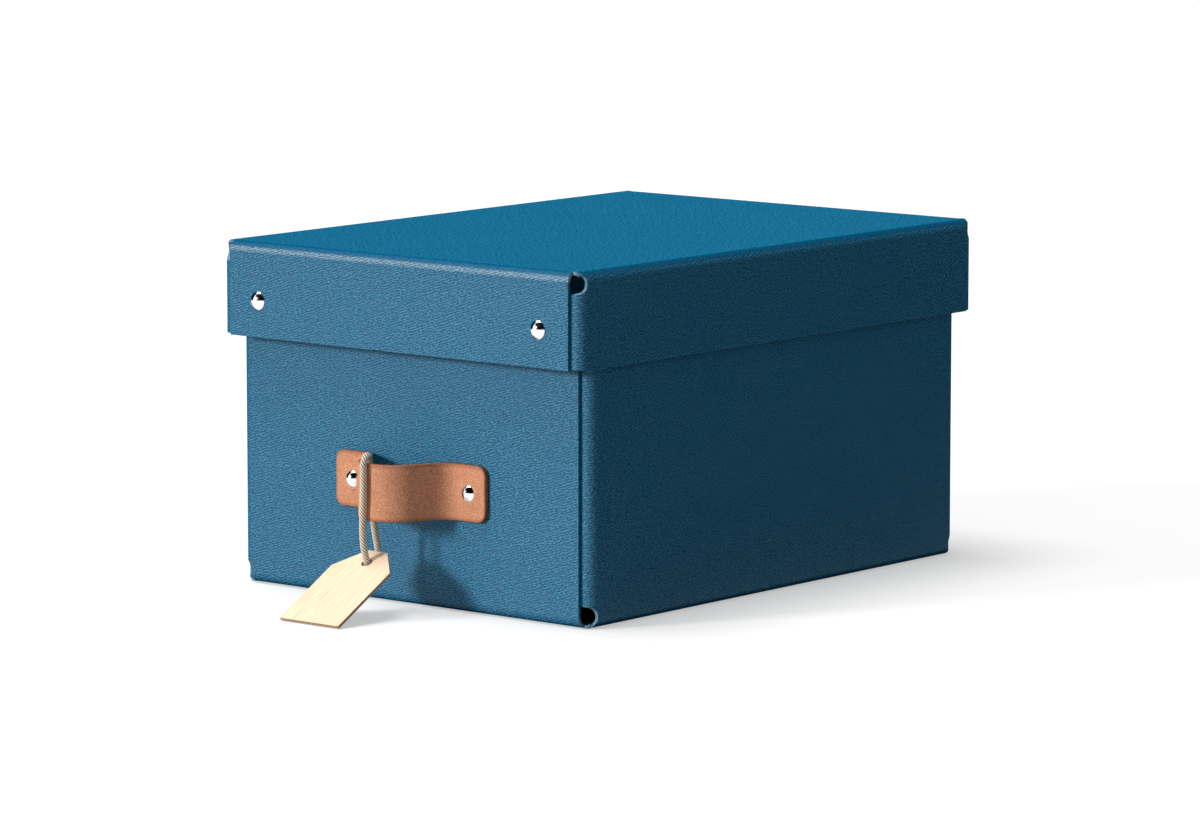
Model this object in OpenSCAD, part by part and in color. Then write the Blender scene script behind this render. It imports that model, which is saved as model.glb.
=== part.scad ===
// Archival storage box: a tray and a lift-off lid, each folded from one blank of laminated
// board and riveted at its corners, with a leather pull strap and a wooden hang tag on a cord.
// Millimetres. The origin is the middle of the base, +Z is up and the handle end faces -Y.

/* [Tray] */
// Outside width of the tray, across its long sides
tray_w = 197.8; // [150:0.1:320]
// Outside length of the tray, from end panel to end panel
tray_l = 258.4; // [180:0.1:400]
// Height of the tray's walls
tray_h = 148.3; // [95:0.1:300]
// Length of the tray's corner flaps behind the end panels
tray_flap_l = 45; // [32:1:60]
// Distance of a tray rivet from the long side
tray_rivet_in = 18; // [14:0.5:26]
// Distance of a tray rivet below the rim
tray_rivet_down = 20; // [12:0.5:30]

/* [Lid] */
// Depth of the lid's skirt, outside
skirt_h = 41.2; // [34:0.1:80]
// Gap between the lid's long skirt and the tray's long side
lid_side_gap = 0.9; // [0.8:0.1:4]
// Gap between the lid's end skirt and the tray's end panel
lid_end_gap = 8.1; // [8:0.1:16]
// Gap where the tray's rim carries the lid
lid_rest_gap = 0.3; // [0.2:0.05:0.6]
// Length of the lid's corner flaps behind the end skirts
lid_flap_l = 35; // [28:1:50]
// Distance of a lid rivet from the lid's long side
lid_rivet_in = 22.2; // [14:0.1:28]
// Distance of a lid rivet below the lid's top
lid_rivet_down = 25.2; // [16:0.1:30]

/* [Board] */
// Thickness of the laminated board
board = 1.4; // [0.9:0.1:2.2]
// Outside radius of every fold
fold_r = 4.5; // [3.5:0.1:6]
// Gap between an end panel and the flap behind it
lap_gap = 0.2; // [0.1:0.05:0.4]
// Distance of an end panel's cut edge from the long side
panel_in = 5.9; // [5.4:0.1:8]
// Radius of the round relief punched at each corner
relief_r = 4.5; // [3.8:0.1:5]
// Distance of the relief's centre behind the end panel's face
relief_back = 1.2; // [0.8:0.1:1.4]
// Distance of the relief's centre from the base or the top
relief_up = 4.9; // [4.6:0.1:5.5]
// Distance of the corners of the base or the top behind the end panel's face
tip_back = 3; // [1:0.1:3]
// Chamfer on the free corners of a flap
flap_cut = 10; // [4:0.5:14]
// Distance that a flap's edge stays back from the rim
flap_short = 0.4; // [0.2:0.1:4]

/* [Rivets] */
// Diameter of a corner rivet's domed head
head_d = 8.1; // [7:0.1:10]
// Diameter of a handle rivet's domed head
strap_head_d = 7.3; // [6:0.1:9]
// Height of a rivet's domed head
head_h = 2.2; // [1.4:0.1:2.8]
// Height of the straight rim under the dome
rim_h = 0.35; // [0.2:0.05:0.6]
// Outside diameter of the hollow post
post_d = 3; // [2.4:0.1:4]
// Bore of the hollow post
post_bore = 2; // [1.4:0.1:2]
// Diameter of the disc on the inside
tail_d = 8; // [6:0.1:9]
// Thickness of the disc on the inside
tail_h = 0.9; // [0.6:0.1:1.4]
// Clearance round the post in its hole
post_clear = 0.1; // [0.05:0.05:0.3]
// Clearance round the pin in the post
pin_clear = 0.05; // [0.03:0.01:0.1]
// Distance that the pin's tip stays short of the head
pin_short = 0.6; // [0.3:0.1:1]

/* [Handle] */
// Length of the strap, end to end
strap_l = 84.6; // [78:0.1:110]
// Width of the strap
strap_h = 24.5; // [18:0.5:32]
// Thickness of the leather
strap_t = 2.2; // [1.6:0.1:2.6]
// Height of the strap's middle above the base
strap_z = 51.8; // [40:0.1:90]
// Distance of the strap's middle to the right of the end panel's middle
strap_x = 1.4; // [0:0.1:6]
// How far the strap stands out from the end panel
strap_out = 27; // [26:0.5:34]
// Outside radius of the strap's arch
arch_r = 16; // [13:0.5:17]
// Radius where the strap turns out of its flat ends
foot_r = 11; // [6:0.5:11.5]
// Slope of the strap's flanks
flank_a = 64; // [55:1:75]
// Radius of the strap's rounded corners
strap_corner_r = 4.5; // [2:0.5:8]
// Distance between the two handle rivets
handle_pitch = 65.4; // [65:0.1:80]

/* [Hang tag] */
// Width of the tag
tag_w = 33; // [26:1:40]
// Length of the tag
tag_l = 50; // [44:1:60]
// Thickness of the tag
tag_t = 1.4; // [1:0.1:2.4]
// Width of the clipped corners
tag_clip_w = 11; // [6:0.5:12]
// Height of the clipped corners
tag_clip_h = 12.5; // [8:0.5:16]
// Distance of the hole's centre from the tag's top edge
tag_hole_down = 8; // [7:0.5:10]
// Diameter of the hole
tag_hole_d = 5; // [4.6:0.1:6]
// Diameter of the twisted cord
cord_d = 3; // [2:0.1:3]
// Diameter of the knot
knot_d = 6; // [4.5:0.1:6]
// Height of the knot
knot_h = 6; // [5:0.5:6]

/* [Hidden] */
$fn = 48;
hair = 0.01;  // overlap of cutting shapes
past = 1;  // how far a tool runs past what it cuts, and joined shapes run into each other
slit = 0.3;  // between the corners of the base and the fold beside them
relief_reach = 2.5;  // how far a relief reaches in from the long side
floor_gap = 0.05;  // between the tag's lower edge and the surface under the box
notch_r = post_d / 2 + post_clear;  // radius of every rivet hole

// Lid size, from the tray inside it
lid_w = tray_w + 2 * (board + lid_side_gap);
lid_l = tray_l + 2 * (board + lid_end_gap);
// The rim meets the inside of the lid's fold a little below the lid's flat underside
fold_in_r = fold_r - board;
rim_reach = max(0, fold_in_r - lid_side_gap);
rim_drop = fold_in_r - sqrt(fold_in_r * fold_in_r - rim_reach * rim_reach);
lid_top = tray_h + rim_drop + lid_rest_gap + board;

// Corner construction
// The relief goes on round the fold into the base, as wide there as at the base's inner face
bite_r = sqrt(max(1, relief_r * relief_r - (relief_up - board) * (relief_up - board)));
flap_out = board + lap_gap;  // a flap's outer face behind the end panel's face
bend_in = flap_out + fold_r;  // where a long side starts to bend into its flap
flap_low = relief_up + relief_r;  // a flap's edge above the base or below the top

// Layers that a rivet holds together
corner_stack = 2 * board + lap_gap;
handle_stack = strap_t + board;

// Rivet places: name, side of the box, end of the box
corners = [
    ["front_left", -1, -1],
    ["front_right", 1, -1],
    ["back_left", -1, 1],
    ["back_right", 1, 1]
];
handles = [["left", -1], ["right", 1]];
lid_rivet_x = lid_w / 2 - lid_rivet_in;
lid_rivet_z = lid_top - lid_rivet_down;
tray_rivet_x = tray_w / 2 - tray_rivet_in;
tray_rivet_z = tray_h - tray_rivet_down;

// Strap seen from above, as distance from its middle and depth in front of the end panel
arch_mid_r = arch_r - strap_t / 2;
foot_mid_r = foot_r + strap_t / 2;
arch_c = strap_out - arch_r;
foot_c = strap_t + foot_r;
flank_drop = arch_c + arch_mid_r * cos(flank_a) - foot_c + foot_mid_r * cos(flank_a);
foot_x = (arch_mid_r + foot_mid_r) * sin(flank_a) + flank_drop / tan(flank_a);
arc_steps = 12;

// The tag hangs from its hole and its lower edge rests on the surface under the box
tag_drop = tag_l - tag_hole_down;
tag_hole = [-2.4, 26.7, 21.2];  // right of the strap's middle, before the end panel, height
tag_reach = sqrt(tag_drop * tag_drop + tag_t * tag_t / 4);
tag_lean = asin(min(1, (tag_hole[2] - floor_gap) / tag_reach)) - atan(tag_t / 2 / tag_drop);

// Cord's route, each point placed as the hole is: up from the knot behind the strap, over the
// strap, down its face, through the tag's hole and back up to the knot
knot_at = [-5.3, 19.9, 50];
cord_route = [
    [-5.3, 19.9, 53], [-5.3, 19.9, 55], [-5.3, 19.9, 57], [-5.4, 20.4, 59.4], [-5.6, 21.1, 61.8],
    [-5.5, 21.5, 64], [-5, 22.6, 66.1], [-4, 24.95, 67], [-3, 27.3, 66.1], [-2.5, 28.7, 64],
    [-2.4, 28.8, 61.4], [-2.4, 28.8, 57], [-2.6, 28.8, 50], [-3, 28.7, 42], [-3.2, 28.6, 34],
    [-2.9, 28.2, 28], tag_hole + [-0.2, 0.8, 3.2], tag_hole, tag_hole + [0, -1.3, -2.4],
    [-2.8, 23.2, 18.2], [-3.3, 20.6, 19.4], [-3.9, 18.4, 22], [-4.5, 17.5, 25.2], [-4.9, 17.8, 29],
    [-5.1, 18.6, 33], [-5.2, 19.3, 37.5], [-5.3, 19.9, 41], [-5.3, 19.9, 44], [-5.3, 19.9, 47]
];
knot_lip = 0.2;  // how far the knot's flat ends reach past the cord
knot_band = 0.4;  // share of the knot's height where it is widest
cord_sides = 8;
cord_steps = 2;  // rings to each stretch between two route points

board_colour = [0.02, 0.36, 0.53];
leather_colour = [0.8, 0.49, 0.33];
metal_colour = [0.85, 0.86, 0.88];
wood_colour = [0.95, 0.87, 0.74];
cord_colour = [0.8, 0.69, 0.55];

// ---- Folded board ----

// Quarter ring of a fold, its straight ends on the two axes
module fold_section() {
    intersection() {
        difference() {
            circle(fold_r);
            circle(fold_r - board);
        }
        square(fold_r);
    }
}

// Solid section with its two lower corners rounded
module round_bottom(w, h, r) {
    translate([-w / 2, r]) square([w, h - r]);
    translate([r - w / 2, 0]) square([w - 2 * r, r]);
    for (side = [-1, 1]) translate([side * (w / 2 - r), r]) circle(r);
}

// Round relief at the +X, +Y corner
module relief(w, l, reach) {
    translate([w / 2 - reach, l / 2 - relief_back, relief_up])
        rotate([0, 90, 0]) cylinder(r = relief_r, h = reach + hair);
}

// Base and long sides. Their ends leave room for the fold of each end panel and, above the
// relief's middle, for the bends that lead to the corner flaps.
module base_and_sides(w, l, h) {
    fold_room = w - 2 * (panel_in - slit);
    difference() {
        rotate([90, 0, 0]) linear_extrude(height = l - 2 * tip_back, center = true) {
            difference() {
                round_bottom(w, h, fold_r);
                translate([0, board]) round_bottom(w - 2 * board, h, fold_in_r);
            }
        }
        for (end = [0, 1]) mirror([0, end, 0]) {
            translate([-fold_room / 2, l / 2 - fold_r, -past])
                cube([fold_room, fold_r, board + 2 * past]);
            for (side = [0, 1]) mirror([side, 0, 0]) {
                translate([w / 2 - fold_r, l / 2 - bend_in, relief_up])
                    cube([fold_r + past, bend_in, h]);
                relief(w, l, relief_reach);
                translate([w / 2 - relief_back, l / 2 - relief_back, -past])
                    cylinder(r = bite_r, h = board + past);
            }
        }
    }
}

// End panel at the +Y end, with its fold and a strip that runs into the base
module end_panel(w, l, h) {
    panel_w = w - 2 * panel_in;
    translate([-panel_w / 2, l / 2 - fold_r - past, 0]) cube([panel_w, past, board]);
    translate([-panel_w / 2, l / 2 - fold_r, fold_r])
        rotate([90, 0, 90]) linear_extrude(height = panel_w) mirror([0, 1]) fold_section();
    translate([-panel_w / 2, l / 2 - board, fold_r]) cube([panel_w, board, h - fold_r]);
}

// Bend and flap at the +X, +Y corner
module corner_flap(w, l, h, flap_l) {
    flap_top = h - flap_short;
    difference() {
        translate([w / 2 - fold_r, l / 2 - bend_in, relief_up])
            linear_extrude(height = flap_top - relief_up) fold_section();
        relief(w, l, fold_r + hair);
    }
    translate([w / 2 - fold_r, l / 2 - flap_out, 0]) rotate([90, 0, 0])
        linear_extrude(height = board) polygon([
            [0, flap_low],
            [0, flap_top],
            [flap_cut - flap_l, flap_top],
            [-flap_l, flap_top - flap_cut],
            [-flap_l, flap_low + flap_cut],
            [flap_cut - flap_l, flap_low]
        ]);
}

// A blank folded into an open tray, its base at height 0, with holes for its corner rivets
module folded_tray(w, l, h, flap_l, rivet_x, rivet_z) {
    difference() {
        union() {
            base_and_sides(w, l, h);
            for (end = [0, 1]) mirror([0, end, 0]) {
                end_panel(w, l, h);
                for (side = [0, 1]) mirror([side, 0, 0]) corner_flap(w, l, h, flap_l);
            }
        }
        for (side = [-1, 1], end = [-1, 1])
            translate([side * rivet_x, end * (l / 2 - corner_stack / 2), rivet_z])
                rotate([90, 0, 0])
                    cylinder(r = notch_r, h = corner_stack + past, center = true);
    }
}

module tray_blank() {
    color(board_colour) difference() {
        folded_tray(tray_w, tray_l, tray_h, tray_flap_l, tray_rivet_x, tray_rivet_z);
        for (h = handles)
            translate([strap_x + h[1] * handle_pitch / 2, board / 2 - tray_l / 2, strap_z])
                rotate([90, 0, 0]) cylinder(r = notch_r, h = board + past, center = true);
    }
}

module lid_blank() {
    color(board_colour) translate([0, 0, lid_top]) mirror([0, 0, 1])
        folded_tray(lid_w, lid_l, skirt_h, lid_flap_l, lid_rivet_x, lid_rivet_down);
}

// ---- Two-piece rivets ----
// Both pieces stand on +Z, with the outermost layer's face at height 0

module rivet_cap(stack, d) {
    dome_h = head_h - rim_h;
    dome_r = (d * d / 4 + dome_h * dome_h) / (2 * dome_h);
    color(metal_colour) {
        cylinder(d = d, h = rim_h);
        intersection() {
            translate([0, 0, head_h - dome_r]) sphere(dome_r);
            translate([0, 0, rim_h]) cylinder(d = d, h = head_h);
        }
        translate([0, 0, -stack]) difference() {
            cylinder(d = post_d, h = stack);
            translate([0, 0, -past]) cylinder(d = post_bore, h = stack + past);
        }
    }
}

module rivet_tail(stack) {
    pin_l = stack - pin_short;
    color(metal_colour) translate([0, 0, -stack]) {
        translate([0, 0, -tail_h]) cylinder(d = tail_d, h = tail_h);
        cylinder(r = post_bore / 2 - pin_clear, h = pin_l);
    }
}

// Turns a rivet to point out of the front or the back end, at a place on that end
module on_end(x, face_y, z, end) {
    translate([x, end * face_y, z]) rotate([-90 * end, 0, 0]) children();
}

module at_lid_corner(c) {
    on_end(c[1] * lid_rivet_x, lid_l / 2, lid_rivet_z, c[2]) children();
}

module at_tray_corner(c) {
    on_end(c[1] * tray_rivet_x, tray_l / 2, tray_rivet_z, c[2]) children();
}

module at_handle(h) {
    on_end(strap_x + h[1] * handle_pitch / 2, tray_l / 2 + strap_t, strap_z, -1) children();
}

// ---- Handle strap ----

// Points of one half of the strap from its middle out, each as a place and the way it faces
arch_half = [for (i = [0 : arc_steps])
    let (a = flank_a * i / arc_steps)
    [arch_mid_r * sin(a), arch_c + arch_mid_r * cos(a), sin(a), cos(a)]
];
foot_half = [for (i = [0 : arc_steps])
    let (a = flank_a * (1 - i / arc_steps))
    [foot_x - foot_mid_r * sin(a), foot_c - foot_mid_r * cos(a), sin(a), cos(a)]
];
strap_half = concat(arch_half, foot_half, [[strap_l / 2, strap_t / 2, 0, 1]]);
strap_line = concat(
    [for (i = [len(strap_half) - 1 : -1 : 1])
        let (p = strap_half[i])
        [-p[0], p[1], -p[2], p[3]]],
    strap_half
);

// One face of the strap, offset from the middle of the leather
function strap_face(offset_by) = [for (p = strap_line) [p[0], p[1]] + offset_by * [p[2], p[3]]];
function reversed(list) = [for (i = [len(list) - 1 : -1 : 0]) list[i]];

module strap_section() {
    polygon(concat(strap_face(strap_t / 2), reversed(strap_face(-strap_t / 2))));
}

// Strap's outline seen from the front, with its corners rounded
module strap_outline() {
    corner_x = strap_l / 2 - strap_corner_r;
    corner_z = strap_h / 2 - strap_corner_r;
    square([strap_l, 2 * corner_z], center = true);
    square([2 * corner_x, strap_h], center = true);
    for (side = [-1, 1], up = [-1, 1])
        translate([side * corner_x, up * corner_z]) circle(strap_corner_r);
}

module handle_strap() {
    color(leather_colour) difference() {
        translate([strap_x, -tray_l / 2, strap_z]) intersection() {
            translate([0, 0, -strap_h / 2])
                linear_extrude(height = strap_h) mirror([0, 1]) strap_section();
            rotate([90, 0, 0]) linear_extrude(height = strap_out + past) strap_outline();
        }
        for (h = handles)
            on_end(strap_x + h[1] * handle_pitch / 2, tray_l / 2 + strap_t / 2, strap_z, -1)
                cylinder(r = notch_r, h = strap_t + past, center = true);
    }
}

// ---- Hang tag and cord ----

// A place given from the strap's middle, in front of the end panel's face and above the base
function before_panel(p) = [strap_x + p[0], -tray_l / 2 - p[1], p[2]];

module hang_tag() {
    top = tag_hole_down;
    side_top = top - tag_clip_h;
    half_top = tag_w / 2 - tag_clip_w;
    color(wood_colour) translate(before_panel(tag_hole)) rotate([tag_lean, 0, 0])
        difference() {
            linear_extrude(height = tag_t, center = true) polygon([
                [-half_top, top],
                [-tag_w / 2, side_top],
                [-tag_w / 2, -tag_drop],
                [tag_w / 2, -tag_drop],
                [tag_w / 2, side_top],
                [half_top, top]
            ]);
            cylinder(d = tag_hole_d, h = tag_t + past, center = true);
        }
}

// Smooth curve through the route: a point at share t of the stretch from b to c
function smooth(a, b, c, d, t) = 0.5 * (
    2 * b + (c - a) * t + (2 * a - 5 * b + 4 * c - d) * t * t
    + (3 * b - a - 3 * c + d) * t * t * t
);
route_last = len(cord_route) - 1;
function route_point(i) = cord_route[max(0, min(route_last, i))];
cord_line = concat(
    [for (i = [0 : route_last - 1], j = [0 : cord_steps - 1])
        smooth(route_point(i - 1), route_point(i), route_point(i + 1), route_point(i + 2),
            j / cord_steps)],
    [cord_route[route_last]]
);

// Ring i of the tube, square to the line through its neighbours
function unit(v) = v / norm(v);
function ring(i) =
    let (
        ahead = cord_line[min(len(cord_line) - 1, i + 1)] - cord_line[max(0, i - 1)],
        side = unit(cross([1, 0, 0], ahead)),
        across = unit(cross(ahead, side))
    )
    [for (k = [0 : cord_sides - 1])
        let (a = 360 * k / cord_sides)
        before_panel(cord_line[i] + cord_d / 2 * (cos(a) * side + sin(a) * across))];

module tag_cord() {
    rings = len(cord_line);
    points = [for (i = [0 : rings - 1]) each ring(i)];
    walls = [for (i = [0 : rings - 2], k = [0 : cord_sides - 1])
        let (next = (k + 1) % cord_sides)
        [i * cord_sides + k, i * cord_sides + next, (i + 1) * cord_sides + next,
            (i + 1) * cord_sides + k]];
    first_end = [for (k = [cord_sides - 1 : -1 : 0]) k];
    last_end = [for (k = [0 : cord_sides - 1]) (rings - 1) * cord_sides + k];
    color(cord_colour) polyhedron(points, concat([first_end], walls, [last_end]));
}

module tag_knot() {
    flat_r = cord_d / 2 + knot_lip;
    band = knot_h * knot_band / 2;
    color(cord_colour) translate(before_panel(knot_at)) rotate_extrude() polygon([
        [0, -knot_h / 2],
        [flat_r, -knot_h / 2],
        [knot_d / 2, -band],
        [knot_d / 2, band],
        [flat_r, knot_h / 2],
        [0, knot_h / 2]
    ]);
}

tray_blank();
lid_blank();
handle_strap();
hang_tag();
tag_cord();
tag_knot();
for (c = corners) {
    at_tray_corner(c) rivet_cap(corner_stack, head_d);
    at_tray_corner(c) rivet_tail(corner_stack);
    at_lid_corner(c) rivet_cap(corner_stack, head_d);
    at_lid_corner(c) rivet_tail(corner_stack);
}
for (h = handles) {
    at_handle(h) rivet_cap(handle_stack, strap_head_d);
    at_handle(h) rivet_tail(handle_stack);
}
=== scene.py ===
import math

import bmesh
import bpy
import numpy as np
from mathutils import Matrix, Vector


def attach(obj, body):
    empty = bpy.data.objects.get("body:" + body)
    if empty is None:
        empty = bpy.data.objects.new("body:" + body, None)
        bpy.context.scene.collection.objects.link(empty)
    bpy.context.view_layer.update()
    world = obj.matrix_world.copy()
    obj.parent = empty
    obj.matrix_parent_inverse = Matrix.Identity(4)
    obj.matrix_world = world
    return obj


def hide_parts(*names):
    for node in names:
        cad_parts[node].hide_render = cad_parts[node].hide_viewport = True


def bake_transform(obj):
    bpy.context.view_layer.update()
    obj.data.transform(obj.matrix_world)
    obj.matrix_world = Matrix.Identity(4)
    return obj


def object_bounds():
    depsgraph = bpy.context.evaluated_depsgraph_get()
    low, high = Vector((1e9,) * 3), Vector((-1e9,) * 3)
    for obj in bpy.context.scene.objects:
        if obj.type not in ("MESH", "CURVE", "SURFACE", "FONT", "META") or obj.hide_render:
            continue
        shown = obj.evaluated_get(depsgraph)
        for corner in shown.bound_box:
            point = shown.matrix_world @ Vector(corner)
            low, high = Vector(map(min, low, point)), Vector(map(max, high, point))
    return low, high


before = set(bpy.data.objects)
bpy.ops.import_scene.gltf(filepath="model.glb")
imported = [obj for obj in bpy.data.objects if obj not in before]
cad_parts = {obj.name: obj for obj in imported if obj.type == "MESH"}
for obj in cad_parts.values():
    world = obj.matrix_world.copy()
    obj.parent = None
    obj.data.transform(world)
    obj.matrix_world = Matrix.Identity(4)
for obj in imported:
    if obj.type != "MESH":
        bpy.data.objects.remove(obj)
cad_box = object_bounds()

MM = 0.001
PANEL_Y = -0.1292  # face of the end panel that carries the handle
STRAP_X = 1.4  # the strap's middle is this many millimetres right of the panel's middle


# ---- Camera ----

LENS_MM = 174.93
SENSOR_MM = 36.0
CAMERA_AT = Vector((1.6264, -1.9702, 0.4267))
LOOK_AT = Vector((-0.0079, 0.0070, 0.0690))

camera_data = bpy.data.cameras.new("camera")
camera_data.lens = LENS_MM
camera_data.sensor_width = SENSOR_MM
camera_data.clip_start, camera_data.clip_end = 0.05, 60
camera = bpy.data.objects.new("camera", camera_data)
camera.location = CAMERA_AT
camera.rotation_mode = "QUATERNION"
camera.rotation_quaternion = (LOOK_AT - CAMERA_AT).to_track_quat("-Z", "Y")
bpy.context.scene.collection.objects.link(camera)
bpy.context.scene.camera = camera
bpy.context.scene.view_settings.view_transform = "Standard"


# ---- Node helpers ----

def add(tree, kind, settings=None, **inputs):
    """A node, its settings, and its inputs by name; a socket given as an input is linked."""
    made = tree.nodes.new(kind)
    for key, value in (settings or {}).items():
        setattr(made, key, value)
    for key, value in inputs.items():
        name = key.replace("_", " ")
        found = [s for s in made.inputs if s.name == name and s.enabled]
        target = found[0] if found else made.inputs[int(name.split(" ")[-1])]
        if isinstance(value, bpy.types.NodeSocket):
            tree.links.new(value, target)
        else:
            target.default_value = value
    return made


def math_node(tree, operation, a, b=0.0):
    made = tree.nodes.new("ShaderNodeMath")
    made.operation = operation
    for i, value in enumerate((a, b)):
        if isinstance(value, bpy.types.NodeSocket):
            tree.links.new(value, made.inputs[i])
        else:
            made.inputs[i].default_value = value
    return made.outputs[0]


def mix_number(tree, share, a, b):
    made = add(tree, "ShaderNodeMix", {"data_type": "FLOAT"}, Factor=share, A=a, B=b)
    return made.outputs[0]


def mix_colour(tree, share, a, b):
    made = tree.nodes.new("ShaderNodeMix")
    made.data_type = "RGBA"
    for i, value in ((0, share), (6, a), (7, b)):
        if isinstance(value, bpy.types.NodeSocket):
            tree.links.new(value, made.inputs[i])
        else:
            made.inputs[i].default_value = value if i == 0 else (*value, 1)
    return made.outputs[2]


def noise(tree, vector, scale, detail=2.0, roughness=0.5, distortion=0.0):
    made = add(
        tree, "ShaderNodeTexNoise", Vector=vector, Scale=scale, Detail=detail,
        Roughness=roughness, Distortion=distortion,
    )
    return made.outputs[0]


def ramp(tree, value, low, high, at_low=0.0, at_high=1.0):
    """value turned into at_low at low and at_high at high, and smoothly in between."""
    made = add(tree, "ShaderNodeMapRange", {"interpolation_type": "SMOOTHSTEP"}, Value=value)
    for name, level in (
        ("From Min", low), ("From Max", high), ("To Min", at_low), ("To Max", at_high),
    ):
        made.inputs[name].default_value = level
    return made.outputs[0]


def stretched(tree, vector, size, angle=0.0):
    """vector turned back by angle and measured in sizes."""
    made = add(tree, "ShaderNodeMapping", {"vector_type": "TEXTURE"}, Vector=vector)
    made.inputs["Rotation"].default_value = (0, 0, angle)
    made.inputs["Scale"].default_value = size
    return made.outputs[0]


def mesh_value(tree, name, output="Fac"):
    """A value that the mesh carries as the attribute of that name."""
    return add(tree, "ShaderNodeAttribute", {"attribute_name": name}).outputs[output]


def new_material(name, **sockets):
    """A material, its tree and its Principled shader, with some of the shader's sockets set."""
    made = bpy.data.materials.new(name)
    made.use_nodes = True
    shader = made.node_tree.nodes["Principled BSDF"]
    for key, value in sockets.items():
        shader.inputs[key.replace("_", " ")].default_value = value
    return made, made.node_tree, shader


def link_surface(tree, shader, colour, roughness, height, depth):
    """Links the colour, the roughness and a relief that is depth metres deep."""
    tree.links.new(colour, shader.inputs["Base Color"])
    tree.links.new(roughness, shader.inputs["Roughness"])
    relief = add(tree, "ShaderNodeBump", Height=height, Distance=depth, Strength=1.0)
    tree.links.new(relief.outputs[0], shader.inputs["Normal"])


def object_vector(tree):
    return tree.nodes.new("ShaderNodeTexCoord").outputs["Object"]


def wrapped_vector(tree):
    """Object coordinates laid flat on the face, whichever way the face looks."""
    source = tree.nodes.new("ShaderNodeTexCoord")
    place = add(tree, "ShaderNodeSeparateXYZ", Vector=source.outputs["Object"]).outputs
    facing = add(tree, "ShaderNodeSeparateXYZ", Vector=source.outputs["Normal"]).outputs
    diagonal = 0.71  # a normal's part along an axis beyond which the face looks along it
    looks_x, looks_z = (
        math_node(tree, "GREATER_THAN", math_node(tree, "ABSOLUTE", facing[k]), diagonal)
        for k in (0, 2)
    )
    across = mix_number(tree, looks_x, place[0], place[1])
    up = mix_number(tree, looks_z, place[2], place[1])
    return add(tree, "ShaderNodeCombineXYZ", X=across, Y=up).outputs[0]


# ---- Materials ----

ROW_PITCH = 1.15 * MM  # from one embossed row to the next
ROW_SLOPE = 0.32  # a row's rise to the right
STROKE = (1.25 * MM, 0.52 * MM, 1)  # length and height of an embossed stroke


def board_outside():
    """Blue paper embossed with rows of short strokes under a satin coat, with painted shade on the
    upper folds and a painted highlight on the end folds.
    """
    made, tree, shader = new_material("board_outside")
    hollow, crest, cloud = (0.0, 0.058, 0.130), (0.021, 0.246, 0.432), (0.002, 0.12, 0.25)
    painted_fold_shade_blue, painted_highlight_pale = (0.0, 0.088, 0.195), (0.24, 0.36, 0.44)
    # The satin coat is dull at a glance along the face, so that no white glare lies on it
    glance = add(tree, "ShaderNodeLayerWeight", Blend=0.5).outputs["Facing"]
    tree.links.new(
        ramp(tree, glance, 0.62, 0.2, 0.0, 0.46), shader.inputs["Specular IOR Level"]
    )
    vector = wrapped_vector(tree)
    place = add(tree, "ShaderNodeSeparateXYZ", Vector=vector).outputs
    wander = noise(tree, vector, 330, 2)
    per_metre = 2 * math.pi / ROW_PITCH
    phase = math_node(
        tree, "ADD", math_node(tree, "MULTIPLY", place[1], per_metre),
        math_node(tree, "MULTIPLY", place[0], -ROW_SLOPE * per_metre),
    )
    phase = math_node(tree, "ADD", phase, math_node(tree, "MULTIPLY", wander, 9.0))
    rows = math_node(tree, "MULTIPLY", math_node(tree, "SINE", phase), 0.11)
    stroke = noise(tree, stretched(tree, vector, STROKE, 0.3), 1, 1, 0.5, 0.2)
    slow = noise(tree, vector, 22, 3)
    height = ramp(tree, math_node(tree, "ADD", stroke, rows), 0.34, 0.66)
    colour = mix_colour(tree, height, hollow, crest)
    colour = mix_colour(tree, ramp(tree, slow, 0.35, 0.65, 0.0, 0.12), colour, cloud)
    # Painted shade: where a fold's face tilts up between the front and the top, the colour is
    # mixed towards a deeper blue
    normal = tree.nodes.new("ShaderNodeTexCoord").outputs["Normal"]
    facing = add(tree, "ShaderNodeSeparateXYZ", Vector=normal).outputs
    up = facing[2]
    painted_fold_shade = math_node(
        tree, "MULTIPLY", ramp(tree, up, 0.45, 0.65, 0.0, 0.75), ramp(tree, up, 0.999, 0.96)
    )
    colour = mix_colour(tree, painted_fold_shade, colour, painted_fold_shade_blue)
    # Painted highlight: where such a fold leaves an end panel, the crests of its grain are mixed
    # towards a pale grey blue
    end_fold = math_node(
        tree, "GREATER_THAN", math_node(tree, "ABSOLUTE", facing[1]),
        math_node(tree, "ABSOLUTE", facing[0]),
    )
    rub_and_painted_highlight = math_node(tree, "MULTIPLY", ramp(tree, up, 0.02, 0.22), ramp(tree, up, 0.62, 0.42))
    rub_and_painted_highlight = math_node(tree, "MULTIPLY", rub_and_painted_highlight, mix_number(tree, height, 0.15, 0.85))
    rub_and_painted_highlight = math_node(tree, "MULTIPLY", rub_and_painted_highlight, end_fold)
    colour = mix_colour(tree, rub_and_painted_highlight, colour, painted_highlight_pale)
    link_surface(tree, shader, colour, mix_number(tree, height, 0.50, 0.36), height, 0.18 * MM)
    return made


def board_inside():
    """Plain paper lining with a faint fibre."""
    made, tree, shader = new_material("board_inside", Specular_IOR_Level=0.05)
    dark, light = (0.008, 0.11, 0.2), (0.014, 0.145, 0.25)
    fibre = noise(tree, stretched(tree, wrapped_vector(tree), (3 * MM, 0.5 * MM, 1), 0.1), 1, 3)
    colour = mix_colour(tree, ramp(tree, fibre, 0.3, 0.7), dark, light)
    link_surface(tree, shader, colour, mix_number(tree, fibre, 0.6, 0.85), fibre, 0.03 * MM)
    return made


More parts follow.
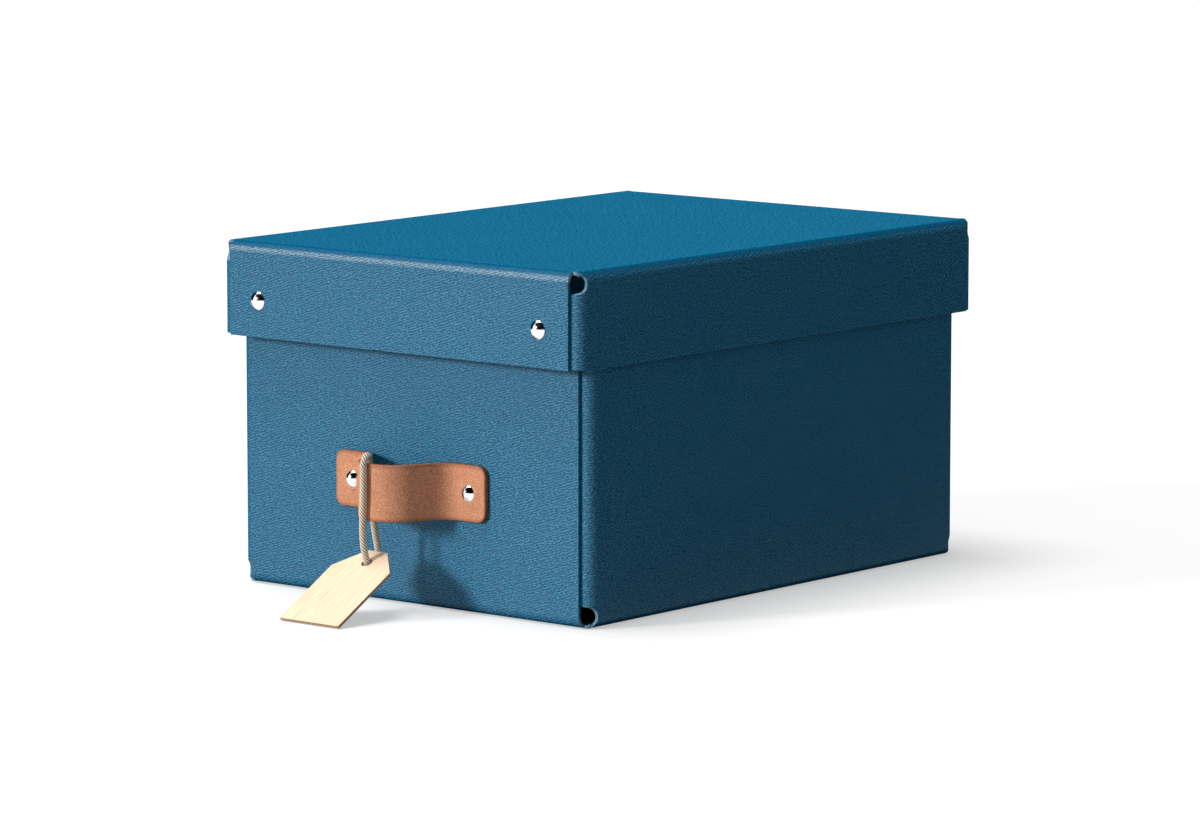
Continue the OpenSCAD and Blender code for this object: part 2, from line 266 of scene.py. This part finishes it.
def board_edge():
    """Cut edge: pressed grey layers with a little of the blue paper rubbed over them."""
    made, tree, shader = new_material("board_edge", Specular_IOR_Level=0.06)
    dark, light, blue = (0.14, 0.25, 0.33), (0.27, 0.40, 0.49), (0.03, 0.17, 0.28)
    vector = object_vector(tree)
    fibre = noise(tree, vector, 1900, 4, 0.65)
    patch = noise(tree, vector, 420, 2)
    colour = mix_colour(tree, ramp(tree, fibre, 0.32, 0.68), dark, light)
    colour = mix_colour(tree, ramp(tree, patch, 0.45, 0.6, 0.15, 0.6), colour, blue)
    link_surface(tree, shader, colour, mix_number(tree, fibre, 0.7, 0.95), fibre, 0.1 * MM)
    return made


def leather_face():
    """Tan leather with a fine crossed grain, small pores, a cloudy dye and darker rims."""
    made, tree, shader = new_material("leather_face", Specular_IOR_Level=0.2)
    dark, light = (0.46, 0.162, 0.072), (1.0, 0.50, 0.300)
    dye, rim = (0.54, 0.20, 0.09), (0.22, 0.062, 0.022)
    vector = object_vector(tree)
    pores = noise(tree, stretched(tree, vector, (0.44 * MM, 1, 0.34 * MM)), 1, 2, 0.6, 0.3)
    fine = noise(tree, vector, 2300, 2, 0.6)
    cloud = noise(tree, vector, 120, 4, 0.6)
    grain = ramp(tree, mix_number(tree, 0.35, pores, fine), 0.34, 0.66)
    colour = mix_colour(tree, grain, dark, light)
    colour = mix_colour(tree, ramp(tree, cloud, 0.35, 0.7, 0.0, 0.22), colour, dye)
    colour = mix_colour(tree, mesh_value(tree, "rub"), colour, rim)
    link_surface(tree, shader, colour, mix_number(tree, grain, 0.62, 0.48), grain, 0.1 * MM)
    return made


def cord_material():
    """Cotton yarn, tan and cream on the outside of a strand, with painted shade in dark brown in
    the grooves between strands.
    """
    made, tree, shader = new_material("cord_yarn", Specular_IOR_Level=0.2)
    tan, cream, shade = (0.90, 0.72, 0.53), (1.0, 0.94, 0.80), (0.06, 0.025, 0.011)
    fibre = noise(tree, object_vector(tree), 5200, 3, 0.6)
    colour = mix_colour(tree, ramp(tree, fibre, 0.3, 0.7), tan, cream)
    # Painted shade: the groove share darkens the yarn towards a near black brown
    colour = mix_colour(tree, mesh_value(tree, "painted_groove_shade"), colour, shade)
    link_surface(tree, shader, colour, mix_number(tree, fibre, 0.75, 0.95), fibre, 0.12 * MM)
    return made


def wood_face():
    """Thin birch sheet with fine straight grain."""
    made, tree, shader = new_material("wood_face", Specular_IOR_Level=0.25)
    dark, light = (0.80, 0.58, 0.38), (0.96, 0.78, 0.57)
    warm, brown = (0.87, 0.69, 0.49), (0.6, 0.4, 0.24)
    flat = mesh_value(tree, "flat", "Vector")
    line = noise(tree, stretched(tree, flat, (0.42 * MM, 16 * MM, 1)), 1, 3, 0.6)
    band = noise(tree, stretched(tree, flat, (3.5 * MM, 60 * MM, 1)), 1, 2, 0.5, 0.5)
    pore = noise(tree, stretched(tree, flat, (0.16 * MM, 1.4 * MM, 1)), 1, 2)
    colour = mix_colour(tree, ramp(tree, line, 0.35, 0.65), dark, light)
    colour = mix_colour(tree, ramp(tree, band, 0.4, 0.65, 0.0, 0.25), colour, warm)
    colour = mix_colour(tree, ramp(tree, pore, 0.6, 0.75, 0.0, 0.25), colour, brown)
    relief = mix_number(tree, 0.4, line, pore)
    link_surface(tree, shader, colour, mix_number(tree, line, 0.5, 0.7), relief, 0.05 * MM)
    return made


def wood_edge():
    """Saw-cut edge of the tag, a little toasted."""
    made, tree, shader = new_material("wood_edge", Specular_IOR_Level=0.2)
    dark, light = (0.42, 0.25, 0.13), (0.68, 0.47, 0.28)
    layer = noise(tree, object_vector(tree), 2400, 3)
    colour = mix_colour(tree, ramp(tree, layer, 0.35, 0.65), dark, light)
    link_surface(tree, shader, colour, mix_number(tree, layer, 0.6, 0.85), layer, 0.06 * MM)
    return made


def chrome():
    """Bright plating with hairline rubbing and a few dull specks."""
    made, tree, shader = new_material("chrome", Metallic=1.0)
    bright, dull = (0.93, 0.93, 0.94), (0.74, 0.75, 0.78)
    vector = object_vector(tree)
    speck = noise(tree, vector, 900, 4, 0.7)
    rub = ramp(tree, noise(tree, vector, 260, 2), 0.4, 0.8, 0.05, 0.2)
    colour = mix_colour(tree, ramp(tree, speck, 0.55, 0.8), bright, dull)
    link_surface(tree, shader, colour, rub, speck, 0.004 * MM)
    return made


# ---- Mesh helpers ----

def mesh_object(name, points, faces, materials, smooth=True):
    data = bpy.data.meshes.new(name)
    data.from_pydata([tuple(p) for p in points], [], faces)
    data.update()
    for m in materials:
        data.materials.append(m)
    if smooth:
        data.shade_smooth()
    made = bpy.data.objects.new(name, data)
    bpy.context.scene.collection.objects.link(made)
    return made


def set_attribute(made, name, values):
    attribute = made.data.attributes.new(name, "FLOAT", "POINT")
    attribute.data.foreach_set("value", np.asarray(values, np.float32))


def before_panel(x, depth, z):
    """A place in metres from millimetres right of the strap's middle, before the panel and up."""
    return Vector(((STRAP_X + x) * MM, PANEL_Y - depth * MM, z * MM))


def smooth_line(points, steps):
    """Catmull-Rom curve through the points, the same one that the CAD cord follows."""
    points = np.array(points, float)
    last = len(points) - 1
    line = []
    for i in range(last):
        a, b, c, d = (points[max(0, min(last, i + k))] for k in (-1, 0, 1, 2))
        for j in range(steps):
            t = j / steps
            line.append(0.5 * (
                2 * b + (c - a) * t + (2 * a - 5 * b + 4 * c - d) * t * t
                + (3 * b - a - 3 * c + d) * t ** 3
            ))
    line.append(points[last])
    return np.array(line)


def evenly(line, step):
    """The line again with points about step apart."""
    along = np.concatenate([[0], np.cumsum(np.linalg.norm(np.diff(line, axis=0), axis=1))])
    at = np.linspace(0, along[-1], max(2, round(along[-1] / step) + 1))
    return np.stack([np.interp(at, along, line[:, k]) for k in range(3)], axis=1)


def carried_frames(line):
    """Unit tangents and two normals carried along the line without extra twist."""
    tangent = np.gradient(line, axis=0)
    tangent /= np.linalg.norm(tangent, axis=1)[:, None]
    side = np.cross(tangent[0], [1.0, 0, 0])
    sides = []
    for t in tangent:
        side = side - (side @ t) * t
        side = side / np.linalg.norm(side)
        sides.append(side)
    sides = np.array(sides)
    return tangent, sides, np.cross(tangent, sides)


STRANDS = 6
TUBE_SIDES = 12
RINGS_PER_LAY = 22
STRAND_DEPTH, STRAND_WIDTH = 0.31, 0.33  # a strand's half depth and half width in rope radii
CORE_INSET = 1.3  # how far the core's surface lies inside the rope's, in strand depths
END_SHARE = 0.55  # how narrow a tapered rope's ends are


def rope(name, line, radius, lay_length, material, taper=0.0):
    """Strands twisted the left way round a core that follows a line in metres."""
    line = evenly(line, lay_length / RINGS_PER_LAY)
    tangent, u, v = carried_frames(line)
    along = np.concatenate([[0], np.cumsum(np.linalg.norm(np.diff(line, axis=0), axis=1))])
    depth, width = radius * STRAND_DEPTH, radius * STRAND_WIDTH
    points, faces, painted_groove_shade = [], [], []
    rings = len(line)
    end_share = np.ones(rings)
    if taper:
        from_end = np.minimum(along, along[-1] - along)
        end_share = END_SHARE + (1 - END_SHARE) * np.clip(from_end / taper, 0, 1) ** 0.5
    lean = math.atan2(2 * math.pi * (radius - depth), lay_length)
    angles = [2 * math.pi * k / TUBE_SIDES for k in range(TUBE_SIDES)]

    def close_tube(start):
        for a in range(start, start + (rings - 1) * TUBE_SIDES, TUBE_SIDES):
            b = a + TUBE_SIDES
            for k in range(TUBE_SIDES):
                n = (k + 1) % TUBE_SIDES
                faces.append((a + k, a + n, b + n, b + k))
        faces.append(tuple(start + k for k in reversed(range(TUBE_SIDES))))
        faces.append(tuple(start + (rings - 1) * TUBE_SIDES + k for k in range(TUBE_SIDES)))

    for s in range(STRANDS):
        start = len(points)
        turn = -2 * math.pi * (along / lay_length + s / STRANDS)
        out = np.cos(turn)[:, None] * u + np.sin(turn)[:, None] * v
        round_ = -np.sin(turn)[:, None] * u + np.cos(turn)[:, None] * v
        across = math.cos(lean) * round_ + math.sin(lean) * tangent
        middle = line + (radius - depth) * end_share[:, None] * out
        for i in range(rings):
            for a in angles:
                points.append(
                    middle[i]
                    + depth * end_share[i] * math.cos(a) * out[i]
                    + width * end_share[i] * math.sin(a) * across[i]
                )
                # Painted shade: a strand darkens from its crown towards its flanks, where it meets
                # its neighbours
                painted_groove_shade.append(min(1.0, max(0.0, 2.05 - 2.3 * math.cos(a))))
        close_tube(start)
    start = len(points)
    core = radius - CORE_INSET * depth
    for i in range(rings):
        for a in angles:
            outward = math.cos(a) * u[i] + math.sin(a) * v[i]
            points.append(line[i] + core * end_share[i] * outward)
            # Painted shade: the core, seen only between the strands, is fully shaded
            painted_groove_shade.append(1.0)
    close_tube(start)
    made = mesh_object(name, points, faces, [material])
    set_attribute(made, "painted_groove_shade", painted_groove_shade)
    return made


# ---- Cord and knot ----

CORD_D = 0.003
CORD_LAY = 9 * MM  # the length in which a strand goes once round
TAG_HOLE = np.array([-2.4, 26.7, 21.2])
CORD_ROUTE = [
    (-5.3, 19.9, 53), (-5.3, 19.9, 55), (-5.3, 19.9, 57), (-5.4, 20.4, 59.4), (-5.6, 21.1, 61.8),
    (-5.5, 21.5, 64), (-5, 22.6, 66.1), (-4, 24.95, 67), (-3, 27.3, 66.1), (-2.5, 28.7, 64),
    (-2.4, 28.8, 61.4), (-2.4, 28.8, 57), (-2.6, 28.8, 50), (-3, 28.7, 42), (-3.2, 28.6, 34),
    (-2.9, 28.2, 28), TAG_HOLE + (-0.2, 0.8, 3.2), TAG_HOLE, TAG_HOLE + (0, -1.3, -2.4),
    (-2.8, 23.2, 18.2), (-3.3, 20.6, 19.4), (-3.9, 18.4, 22), (-4.5, 17.5, 25.2),
    (-4.9, 17.8, 29), (-5.1, 18.6, 33), (-5.2, 19.3, 37.5), (-5.3, 19.9, 41), (-5.3, 19.9, 44),
    (-5.3, 19.9, 47),
]

yarn = cord_material()
route = np.array([before_panel(*p) for p in smooth_line(CORD_ROUTE, 8)])
cord = rope("tag_cord_rope", route, CORD_D / 2, CORD_LAY, yarn)

KNOT_AT = (-5.3, 19.9, 50)
KNOT_TURNS = 1.75
KNOT_COIL_R, KNOT_RISE = 1.55, 3.6
KNOT_YARN_R = 1.35 * MM
KNOT_LAY = 8 * MM

knot_turn = np.linspace(0, 2 * math.pi * KNOT_TURNS, 90)
knot_line = np.array([
    before_panel(
        KNOT_AT[0] + KNOT_COIL_R * math.cos(a),
        KNOT_AT[1] + KNOT_COIL_R * math.sin(a),
        KNOT_AT[2] + KNOT_RISE * (a / knot_turn[-1] - 0.5),
    )
    for a in knot_turn
])
knot = rope("tag_cord_knot", knot_line, KNOT_YARN_R, KNOT_LAY, yarn, taper=1.5 * MM)
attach(knot, "tray")
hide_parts("tag_knot")

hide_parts("tag_cord")
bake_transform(cord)


# ---- Strap ----

STRAP_L, STRAP_H, STRAP_T, STRAP_Z = 84.6, 24.5, 2.2, 51.8
STRAP_OUT, ARCH_R, FOOT_R = 27.0, 16.0, 11.0
FLANK = math.radians(64)  # how steeply the flanks leave the panel
CORNER_R = 4.5
RIM_R = 0.55  # the rounding of the leather's cut rim
FACE_STEPS = 18
RIVET_X = 65.4 / 2
SWELL, SWELL_AT, SWELL_WIDTH = 0.28, 4.3, 1.1  # the leather's swelling round a rivet head
EDGE_RUB, BACK_RUB, FACE_RUB = 0.85, 0.5, 0.55


def strap_line():
    """Middle line of the leather as (x, depth, facing x, facing depth), in millimetres."""
    arch, foot = ARCH_R - STRAP_T / 2, FOOT_R + STRAP_T / 2
    arch_c, foot_c = STRAP_OUT - ARCH_R, STRAP_T + FOOT_R
    drop = arch_c + arch * math.cos(FLANK) - foot_c + foot * math.cos(FLANK)
    foot_x = (arch + foot) * math.sin(FLANK) + drop / math.tan(FLANK)
    half = []
    for a in np.linspace(0, FLANK, 20):
        half.append((arch * math.sin(a), arch_c + arch * math.cos(a), math.sin(a), math.cos(a)))
    feet = []
    for a in np.linspace(FLANK, 0, 16):
        feet.append((
            foot_x - foot * math.sin(a), foot_c - foot * math.cos(a), math.sin(a), math.cos(a)
        ))
    arch_end, foot_start = np.array(half[-1]), np.array(feet[0])
    for t in np.linspace(0, 1, 8)[1:-1]:
        half.append(tuple(arch_end + t * (foot_start - arch_end)))
    half += feet
    end = STRAP_L / 2
    for x in np.linspace(foot_x, end - CORNER_R, 12)[1:]:
        half.append((x, STRAP_T / 2, 0, 1))
    for a in np.linspace(0, math.pi / 2, 9)[1:]:
        half.append((end - CORNER_R + CORNER_R * math.sin(a), STRAP_T / 2, 0, 1))
    left = [(-x, d, -fx, fd) for x, d, fx, fd in reversed(half[1:])]
    return left + half


def build_strap(face):
    """Leather with rounded rims, its outer face a little proud round the rivets."""
    rows, rub_and_painted_highlight = [], []
    for x, depth, fx, fd in strap_line():
        past = max(0.0, abs(x) - (STRAP_L / 2 - CORNER_R))
        half_h = STRAP_H / 2 - CORNER_R + math.sqrt(max(0.0, CORNER_R ** 2 - past ** 2))
        end_gap = STRAP_L / 2 - abs(x)
        ends = min(1.0, max(0.0, end_gap / RIM_R))
        thick = STRAP_T / 2 - RIM_R * (1 - math.sqrt(max(0.0, 1 - (1 - ends) ** 2)))
        # Each point of the section as its level, from 1 on the face to -1 on the back, and its z
        section = []
        for side in (1, -1):
            for z in np.linspace(-(half_h - RIM_R), half_h - RIM_R, FACE_STEPS):
                section.append((side, side * z))
            for a in np.radians((30, 60, 90, 120, 150)):
                z = half_h - RIM_R + RIM_R * math.sin(a)
                section.append((side * math.cos(a), side * z))
        row = []
        for level, z in section:
            off = math.copysign(thick - RIM_R + RIM_R * abs(level), level)
            if abs(level) < 1e-6:
                off = 0.0
            near_rim = min(half_h - abs(z), end_gap + 0.2)
            rub = FACE_RUB * math.exp(-max(0.0, near_rim - 0.5) / 0.45)
            if level == 1:
                for rivet in (-RIVET_X, RIVET_X):
                    away = math.hypot(x - rivet, z)
                    if away > 2:
                        off += SWELL * math.exp(-(((away - SWELL_AT) / SWELL_WIDTH) ** 2))
                off += 0.05 * math.sin(x * 0.31 + 1.2) * math.sin(z * 0.42 + 0.3)
            elif abs(level) < 0.8:
                rub = EDGE_RUB
            else:
                rub = max(BACK_RUB, rub)
            row.append(before_panel(x + off * fx, depth + off * fd, STRAP_Z + z))
            rub_and_painted_highlight.append(rub)
        rows.append(row)
    count = len(rows[0])
    points = [p for row in rows for p in row]
    faces = []
    for a in range(0, (len(rows) - 1) * count, count):
        b = a + count
        for k in range(count):
            n = (k + 1) % count
            faces.append((a + k, b + k, b + n, a + n))
    faces.append(tuple(range(count)))
    faces.append(tuple(reversed(range((len(rows) - 1) * count, len(rows) * count))))
    made = mesh_object("pull_strap", points, faces, [face])
    set_attribute(made, "rub", rub_and_painted_highlight)
    return made


strap = build_strap(leather_face())
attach(strap, "tray")
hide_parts("handle_strap")


# ---- Tag ----

TAG_EASE = 0.16 * MM  # the rounding of the tag's edges


def build_tag(face, edge):
    """The CAD tag's own outline with its planes merged and its edges eased.

    The attribute flat holds each point's place on the tag's face, from its hole.
    """
    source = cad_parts["hang_tag"]
    shape = bmesh.new()
    shape.from_mesh(source.data)
    bmesh.ops.remove_doubles(shape, verts=shape.verts, dist=1e-6)
    bmesh.ops.dissolve_limit(
        shape, angle_limit=math.radians(2), verts=shape.verts, edges=shape.edges
    )
    sharp = [e for e in shape.edges if e.calc_face_angle(0) > math.radians(40)]
    bmesh.ops.bevel(
        shape, geom=sharp, offset=TAG_EASE, segments=2, profile=0.5, affect="EDGES"
    )
    data = bpy.data.meshes.new("wooden_tag")
    shape.to_mesh(data)
    shape.free()
    made = bpy.data.objects.new("wooden_tag", data)
    bpy.context.scene.collection.objects.link(made)
    data.materials.append(face)
    data.materials.append(edge)
    lean = max(data.polygons, key=lambda p: p.area).normal
    up = Vector((0, lean.z, -lean.y))
    hole = before_panel(*TAG_HOLE)
    for p in data.polygons:
        p.material_index = 0 if abs(p.normal.dot(lean)) > 0.9 else 1
    places = []
    for v in data.vertices:
        from_hole = v.co - hole
        places += (from_hole.x, from_hole.dot(up), from_hole.dot(lean))
    flat = data.attributes.new("flat", "FLOAT_VECTOR", "POINT")
    flat.data.foreach_set("vector", places)
    return made


tag = build_tag(wood_face(), wood_edge())
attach(tag, "tag")
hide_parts("hang_tag")


# ---- Folded boards ----

papers = (board_outside(), board_inside(), board_edge())
OUTSIDE, INSIDE, CUT = 0, 1, 2  # places in papers
CUT_WIDTH = 0.0015  # a face no wider than the board is thick is a cut edge
NEAR_CORNER = 0.0115  # how far from a corner the bare edge of its relief reaches
SMOOTH_ANGLE = math.radians(24)
TRAY_HALF = (0.0989, 0.1292)
LID_HALF = (0.1012, 0.1387)


def region_widths(data):
    """Groups the triangles into smooth faces and measures each group's mean width.

    Returns the groups, their widths, and every triangle's centre and normal.
    """
    shape = bmesh.new()
    shape.from_mesh(data)
    bmesh.ops.remove_doubles(shape, verts=shape.verts, dist=1e-6)
    shape.faces.ensure_lookup_table()
    group = {}
    groups = []
    for first in shape.faces:
        if first.index in group:
            continue
        stack, members = [first], []
        group[first.index] = len(groups)
        while stack:
            face = stack.pop()
            members.append(face.index)
            for e in face.edges:
                if len(e.link_faces) != 2 or e.calc_face_angle(math.pi) > SMOOTH_ANGLE:
                    continue
                for other in e.link_faces:
                    if other.index not in group:
                        group[other.index] = len(groups)
                        stack.append(other)
        groups.append(members)
    widths = []
    for number, members in enumerate(groups):
        area = rim = 0.0
        for i in members:
            area += shape.faces[i].calc_area()
            for e in shape.faces[i].edges:
                if sum(group[other.index] == number for other in e.link_faces) == 1:
                    rim += e.calc_length()
        widths.append(2 * area / max(rim, 1e-9))
    centres = [f.calc_center_median().copy() for f in shape.faces]
    normals = [f.normal.copy() for f in shape.faces]
    shape.free()
    return groups, widths, centres, normals


def dress_board(name, half, base_z, up):
    """Outside paper, inside lining or bare edge for each face. The straight edges are wrapped.

    half is from the middle to the walls' outsides, base_z the flat face's height, and up the
    side of it on which the walls stand: 1 above, -1 below.
    """
    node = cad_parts[name]
    data = node.data
    data.materials.clear()
    for paper in papers:
        data.materials.append(paper)
    groups, widths, centres, normals = region_widths(data)
    if sum(len(g) for g in groups) != len(data.polygons):
        raise ValueError(f"{name}: its faces changed in the merge")
    for members, width in zip(groups, widths):
        for i in members:
            centre, normal = centres[i], normals[i]
            gaps = (half[0] - abs(centre.x), half[1] - abs(centre.y), (centre.z - base_z) * up)
            if width < CUT_WIDTH:
                data.polygons[i].material_index = CUT if max(gaps) < NEAR_CORNER else OUTSIDE
                continue
            outward = (
                normal.x * math.copysign(1, centre.x), normal.y * math.copysign(1, centre.y),
                -normal.z * up,
            )
            # It belongs to the nearest wall, and near a fold to the one it lies along
            wall = min(range(3), key=lambda k: gaps[k] - 0.002 * abs(outward[k]))
            data.polygons[i].material_index = OUTSIDE if outward[wall] > 0.1 else INSIDE


dress_board("tray_blank", TRAY_HALF, 0.0, 1)
dress_board("lid_blank", LID_HALF, cad_box[1][2], -1)


# ---- Rivets ----

plating = chrome()
for name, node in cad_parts.items():
    if "rivet" in name:
        node.data.materials.clear()
        node.data.materials.append(plating)


# ---- Stage and light ----

def seen_share(tree):
    """1 for camera, glossy and transmission rays, which see the white background."""
    path = tree.nodes.new("ShaderNodeLightPath").outputs
    most = math_node(tree, "MAXIMUM", path["Is Camera Ray"], path["Is Glossy Ray"])
    return math_node(tree, "MAXIMUM", most, path["Is Transmission Ray"])


def level_corners(left, near, right, far, z):
    return [(left, near, z), (right, near, z), (right, far, z), (left, far, z)]


FLOOR_HALF = 30.0
WHITE_SHARE = 0.45  # how much of the floor's white, where it is seen, doesn't depend on the light
floor_material = bpy.data.materials.new("floor")
floor_material.use_nodes = True
floor_tree = floor_material.node_tree
floor_tree.nodes.clear()
floor_seen = seen_share(floor_tree)
floor_colour = mix_colour(floor_tree, floor_seen, (0.22, 0.22, 0.22), (1.0, 1.0, 1.0))
floor_diffuse = add(floor_tree, "ShaderNodeBsdfDiffuse", Color=floor_colour)
floor_white = add(floor_tree, "ShaderNodeEmission", Strength=1.0)
floor_shader = floor_tree.nodes.new("ShaderNodeMixShader")
floor_share = math_node(floor_tree, "MULTIPLY", floor_seen, WHITE_SHARE)
floor_tree.links.new(floor_share, floor_shader.inputs[0])
floor_tree.links.new(floor_diffuse.outputs[0], floor_shader.inputs[1])
floor_tree.links.new(floor_white.outputs[0], floor_shader.inputs[2])
floor_out = floor_tree.nodes.new("ShaderNodeOutputMaterial")
floor_tree.links.new(floor_shader.outputs[0], floor_out.inputs["Surface"])
floor = mesh_object(
    "floor", level_corners(-FLOOR_HALF, -FLOOR_HALF, FLOOR_HALF, FLOOR_HALF, -0.2 * MM),
    [(0, 1, 2, 3)], [floor_material], smooth=False,
)

world = bpy.data.worlds.new("world")
world.use_nodes = True
bpy.context.scene.world = world
sky = world.node_tree
sky.nodes.clear()
sky_colour = mix_colour(sky, seen_share(sky), (0.33, 0.33, 0.33), (1.0, 1.0, 1.0))
sky_light = add(sky, "ShaderNodeBackground", Color=sky_colour, Strength=1.0)
sky_out = sky.nodes.new("ShaderNodeOutputWorld")
sky.links.new(sky_light.outputs[0], sky_out.inputs["Surface"])


def sun(name, towards, level, width_deg):
    """A soft sun that gives a white face square to it that level."""
    lamp = bpy.data.lights.new(name, "SUN")
    lamp.energy = level * math.pi
    lamp.angle = math.radians(width_deg)
    made = bpy.data.objects.new(name, lamp)
    made.rotation_mode = "QUATERNION"
    made.rotation_quaternion = Vector(towards).to_track_quat("Z", "Y")
    bpy.context.scene.collection.objects.link(made)


sun("key", (-0.46, -0.85, 0.26), 0.75, 12)
sun("top", (-0.20, -0.12, 0.97), 0.66, 30)

# Black flags, seen only in reflections: they keep the white background off the board's gloss
flag_material = new_material(
    "flag", Base_Color=(0.004, 0.004, 0.004, 1), Roughness=1.0, Specular_IOR_Level=0.0
)[0]


def flag(name, corners):
    made = mesh_object(name, corners, [(0, 1, 2, 3)], [flag_material], smooth=False)
    made.visible_camera = False
    made.visible_diffuse = False
    made.visible_shadow = False


def facing_flag(name, way, distance, half_wide, half_high):
    """A flag square to the line from the handle end, that way and that far off."""
    way = Vector(way).normalized()
    right = way.cross(Vector((0, 0, 1))).normalized()
    up = right.cross(way)
    middle = Vector((0, PANEL_Y, 0.08)) + distance * way
    flag(name, [
        middle + a * half_wide * right + b * half_high * up
        for a, b in ((-1, -1), (1, -1), (1, 1), (-1, 1))
    ])


facing_flag("flag_above", (0.30, -0.78, 0.58), 1.6, 2.1, 1.0)
facing_flag("flag_left", (-0.96, -0.10, 0.30), 1.6, 0.7, 0.9)
facing_flag("flag_behind", (-0.45, 0.87, 0.2), 2.0, 3.0, 1.8)
facing_flag("flag_right", (0.9, 0.45, 0.15), 1.8, 2.2, 1.7)
flag("flag_low", level_corners(0.11, -0.12, 2.5, 2.5, -0.1 * MM))
